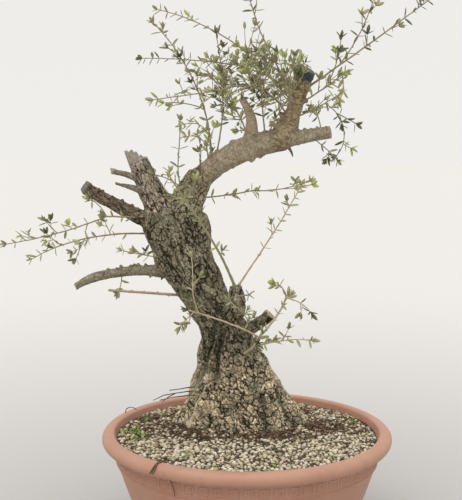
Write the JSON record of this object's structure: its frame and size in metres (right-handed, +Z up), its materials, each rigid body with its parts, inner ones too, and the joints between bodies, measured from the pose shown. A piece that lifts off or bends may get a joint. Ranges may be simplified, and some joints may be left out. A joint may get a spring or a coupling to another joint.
{
  "type": "potted wild olive bonsai tree",
  "caption": "Leaning wild olive bonsai with a buttressed trunk, cut-back boughs and sparse long shoots, in a round terracotta-coloured bowl of gravel.",
  "frame": {"origin": "centre of the bowl's flat underside", "axes": "+Z up, -Y towards the tree's front, +X to the right seen from the front, where the cut main bough points"},
  "size_m": [0.678, 0.45, 0.8836],
  "materials": {
    "pot_plastic": "satin",
    "gravel": "matte",
    "old_bark": "matte",
    "smooth_bark": "matte",
    "dead_wood": "matte",
    "foliage": "satin"
  },
  "bodies": {
    "root": {"back_bough_spray": "foliage", "back_centre_spray": "foliage", "back_east_spray": "foliage", "back_fork_spray": "foliage", "back_trunk_sprig": "foliage", "bend_sprig": "foliage", "bough_end": "smooth_bark", "bough_end_hanger": "foliage", "bough_end_sprig": "foliage", "bough_low_sprig": "foliage", "bough_side_sprig": "foliage", "crotch_side_sprig": "foliage", "crotch_upright": "foliage", "east_diagonal_whip": "foliage", "east_fork_spray": "foliage", "east_front_spray": "foliage", "east_hanging_spray": "foliage", "east_leader": "old_bark", "east_level_whip": "foliage", "east_low_spray": "foliage", "east_stub": "old_bark", "front_bough_spray": "foliage", "front_centre_spray": "foliage", "front_level_spray": "foliage", "front_whip": "foliage", "gravel": "gravel", "hanging_peg": "dead_wood", "leader_snag": "dead_wood", "leader_spur": "dead_wood", "level_west_whip": "foliage", "long_east_whip": "foliage", "long_west_whip": "foliage", "low_bough_sprig": "foliage", "low_bough_tip": "smooth_bark", "main_bough": "smooth_bark", "middle_upright": "foliage", "pot": "pot_plastic", "shoulder_sprig": "foliage", "split_peg": "dead_wood", "split_peg_sprig": "foliage", "stub_peg": "dead_wood", "tall_west_whip": "foliage", "top_stub": "smooth_bark", "top_whip": "foliage", "trunk": "old_bark", "west_arch_spray": "foliage", "west_back_spray": "foliage", "west_high_bough": "old_bark", "west_leader": "old_bark", "west_low_bough": "smooth_bark", "west_rod": "dead_wood", "west_short_spray": "foliage"}
  },
  "joints": []
}
